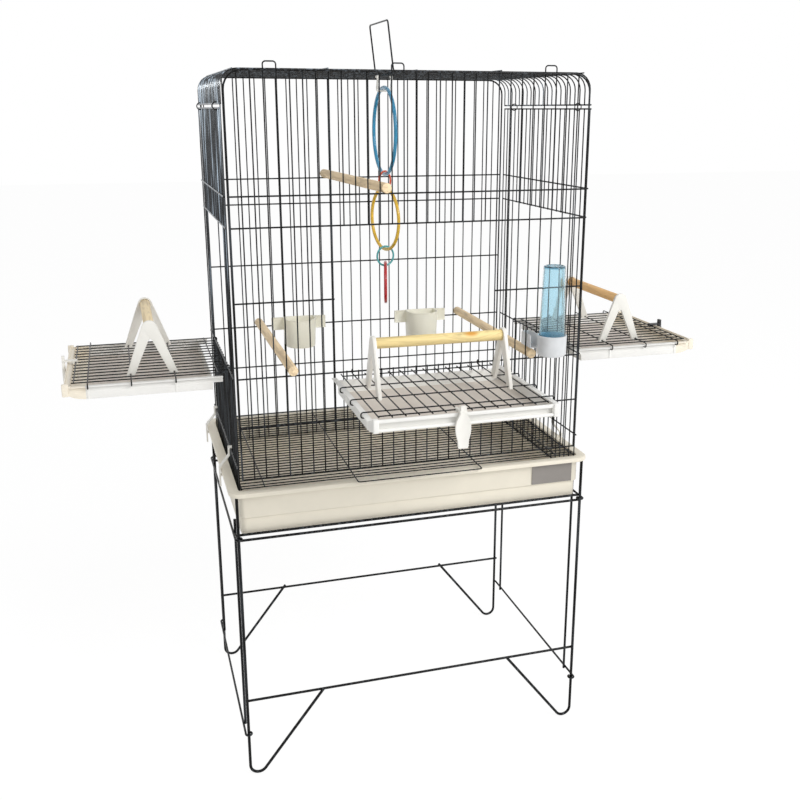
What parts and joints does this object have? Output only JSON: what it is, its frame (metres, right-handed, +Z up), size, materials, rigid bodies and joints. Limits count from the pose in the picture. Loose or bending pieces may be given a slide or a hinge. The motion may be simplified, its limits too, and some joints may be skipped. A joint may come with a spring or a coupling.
{
  "type": "bird cage on stand",
  "caption": "Wire bird cage on a folding wire stand, with door platforms, a plastic tub, a sliding floor grid, perches, cups, a drinker and a swing.",
  "frame": {"origin": "on the floor, under the middle of the whole object's box", "axes": "+X to the right seen from the front, +Y to the back, +Z up"},
  "size_m": [1.1398, 0.6764, 1.2823],
  "materials": {
    "black_wire": "satin black coating",
    "tub_plastic": "satin moulded cream",
    "label_grey": "blank grey plate",
    "white_plastic": "smooth white",
    "black_plastic": "smooth black",
    "tray_plastic": "smooth pale grey-white",
    "cup_plastic": "smooth off-white",
    "clear_blue": "translucent blue",
    "pine": "bare pine",
    "perch_wood": "bare tan wood",
    "toy_blue": "smooth blue",
    "toy_yellow": "smooth yellow",
    "toy_red": "smooth red",
    "toy_orange": "smooth orange",
    "toy_teal": "smooth teal"
  },
  "bodies": {
    "cage": {"back_panel": "black_wire", "base_tub": "tub_plastic", "drinker_cup": "white_plastic", "front_panel": "black_wire", "label_plate": "label_grey", "left_panel": "black_wire", "perch_high": "perch_wood", "perch_low_left": "perch_wood", "perch_low_right": "perch_wood", "right_panel": "black_wire", "roof_ring_bl": "black_wire", "roof_ring_br": "black_wire", "roof_ring_fl": "black_wire", "roof_ring_fr": "black_wire", "stand_back_frame": "black_wire", "stand_front_frame": "black_wire", "top_panel": "black_wire"},
    "front_door": {"door_front": "black_wire", "tray_front": "tray_plastic", "perch_stand_front_a": "white_plastic", "perch_stand_front_b": "white_plastic", "dowel_front": "pine"},
    "front_latch": {"latch_front": "white_plastic"},
    "left_door": {"door_left": "black_wire", "tray_left": "tray_plastic", "perch_stand_left_a": "white_plastic", "perch_stand_left_b": "white_plastic", "dowel_left": "pine"},
    "left_latch": {"latch_left": "white_plastic"},
    "right_door": {"door_right": "black_wire", "tray_right": "tray_plastic", "perch_stand_right_a": "white_plastic", "perch_stand_right_b": "white_plastic", "dowel_right": "pine"},
    "right_latch": {"latch_right": "black_plastic"},
    "grid": {"floor_grid": "black_wire"},
    "bail": {"handle_bail": "black_wire"},
    "left_stand_side": {"stand_left_frame": "black_wire"},
    "right_stand_side": {"stand_right_frame": "black_wire"},
    "clip_fl": {"tub_clip_fl": "white_plastic"},
    "clip_fr": {"tub_clip_fr": "white_plastic"},
    "clip_bl": {"tub_clip_bl": "white_plastic"},
    "clip_br": {"tub_clip_br": "white_plastic"},
    "hook": {"toy_hook": "white_plastic"},
    "blue_ring": {"ring_blue": "toy_blue"},
    "orange_link": {"link_orange": "toy_orange"},
    "yellow_ring": {"ring_yellow": "toy_yellow"},
    "teal_link": {"link_teal": "toy_teal"},
    "red_ring": {"ring_red": "toy_red"},
    "left_cup": {"feeder_cup_left": "cup_plastic"},
    "right_cup": {"feeder_cup_right": "cup_plastic"},
    "water_tube": {"drinker_tube": "clear_blue"}
  },
  "joints": [
    {"name": "front_door_hinge", "type": "hinge", "parent": "cage", "child": "front_door", "pos_m": [0, -0.07103, 0.724], "axis": [-1, 0, 0], "range_deg": [0, 90]},
    {"name": "left_door_hinge", "type": "hinge", "parent": "cage", "child": "left_door", "pos_m": [-0.30275, 0.12373, 0.724], "axis": [0, 1, 0], "range_deg": [0, 90]},
    {"name": "right_door_hinge", "type": "hinge", "parent": "cage", "child": "right_door", "pos_m": [0.30275, 0.12373, 0.724], "axis": [0, -1, 0], "range_deg": [0, 90]},
    {"name": "front_latch_pivot", "type": "hinge", "parent": "front_door", "child": "front_latch", "pos_m": [-0.0099, -0.31533, 0.7221], "axis": [-1, 0, 0], "range_deg": [0, 90]},
    {"name": "left_latch_pivot", "type": "hinge", "parent": "left_door", "child": "left_latch", "pos_m": [-0.54705, 0.12373, 0.7221], "axis": [0, 1, 0], "range_deg": [0, 90]},
    {"name": "right_latch_pivot", "type": "hinge", "parent": "right_door", "child": "right_latch", "pos_m": [0.54705, 0.12373, 0.7221], "axis": [0, -1, 0], "range_deg": [0, 90]},
    {"name": "floor_grid_slide", "type": "slide", "parent": "cage", "child": "grid", "axis": [0, -1, 0], "range_m": [0, 0.3]},
    {"name": "bail_fold", "type": "hinge", "parent": "cage", "child": "bail", "pos_m": [0, 0.12373, 1.1975], "axis": [0, 1, 0], "range_deg": [-80, 90]},
    {"name": "left_stand_side_swing", "type": "hinge", "parent": "cage", "child": "left_stand_side", "pos_m": [-0.31, -0.08178, 0.083], "axis": [0, 0, 1], "range_deg": [0, 85]},
    {"name": "right_stand_side_swing", "type": "hinge", "parent": "cage", "child": "right_stand_side", "pos_m": [0.31, -0.08178, 0.083], "axis": [0, 0, -1], "range_deg": [0, 85]},
    {"name": "tub_clip_fl_pivot", "type": "hinge", "parent": "cage", "child": "clip_fl", "pos_m": [-0.30375, 0.03868, 0.572], "axis": [0, 1, 0], "range_deg": [0, 60]},
    {"name": "tub_clip_bl_pivot", "type": "hinge", "parent": "cage", "child": "clip_bl", "pos_m": [-0.30375, 0.28437, 0.572], "axis": [0, 1, 0], "range_deg": [0, 60]},
    {"name": "tub_clip_fr_pivot", "type": "hinge", "parent": "cage", "child": "clip_fr", "pos_m": [0.30375, 0.03868, 0.572], "axis": [0, -1, 0], "range_deg": [0, 60]},
    {"name": "tub_clip_br_pivot", "type": "hinge", "parent": "cage", "child": "clip_br", "pos_m": [0.30375, 0.28437, 0.572], "axis": [0, -1, 0], "range_deg": [0, 60]},
    {"name": "toy_hook_swing", "type": "hinge", "parent": "cage", "child": "hook", "pos_m": [0, 0.12373, 1.196], "axis": [1, 0, 0], "range_deg": [-10, 10]},
    {"name": "blue_ring_swing", "type": "hinge", "parent": "hook", "child": "blue_ring", "pos_m": [0, 0.12373, 1.1702], "axis": [1, 0, 0], "range_deg": [-10, 10]},
    {"name": "orange_link_swing", "type": "hinge", "parent": "blue_ring", "child": "orange_link", "pos_m": [0, 0.12373, 1.02815], "axis": [0, 1, 0], "range_deg": [-10, 10]},
    {"name": "yellow_ring_swing", "type": "hinge", "parent": "orange_link", "child": "yellow_ring", "pos_m": [0, 0.12373, 0.99905], "axis": [0.7771, 0.6293, 0], "range_deg": [-10, 10]},
    {"name": "teal_link_swing", "type": "hinge", "parent": "yellow_ring", "child": "teal_link", "pos_m": [0, 0.12373, 0.8952], "axis": [-0.1908, 0.9816, 0], "range_deg": [-10, 10]},
    {"name": "red_ring_swing", "type": "hinge", "parent": "teal_link", "child": "red_ring", "pos_m": [0, 0.12373, 0.86585], "axis": [0.9563, 0.2924, 0], "range_deg": [-10, 10]},
    {"name": "left_cup_lift", "type": "slide", "parent": "cage", "child": "left_cup", "axis": [0, 0, 1], "range_m": [0, 0.06]},
    {"name": "right_cup_lift", "type": "slide", "parent": "cage", "child": "right_cup", "axis": [0, 0, 1], "range_m": [0, 0.06]},
    {"name": "water_tube_lift", "type": "slide", "parent": "cage", "child": "water_tube", "axis": [0, 0, 1], "range_m": [0, 0.04]}
  ]
}
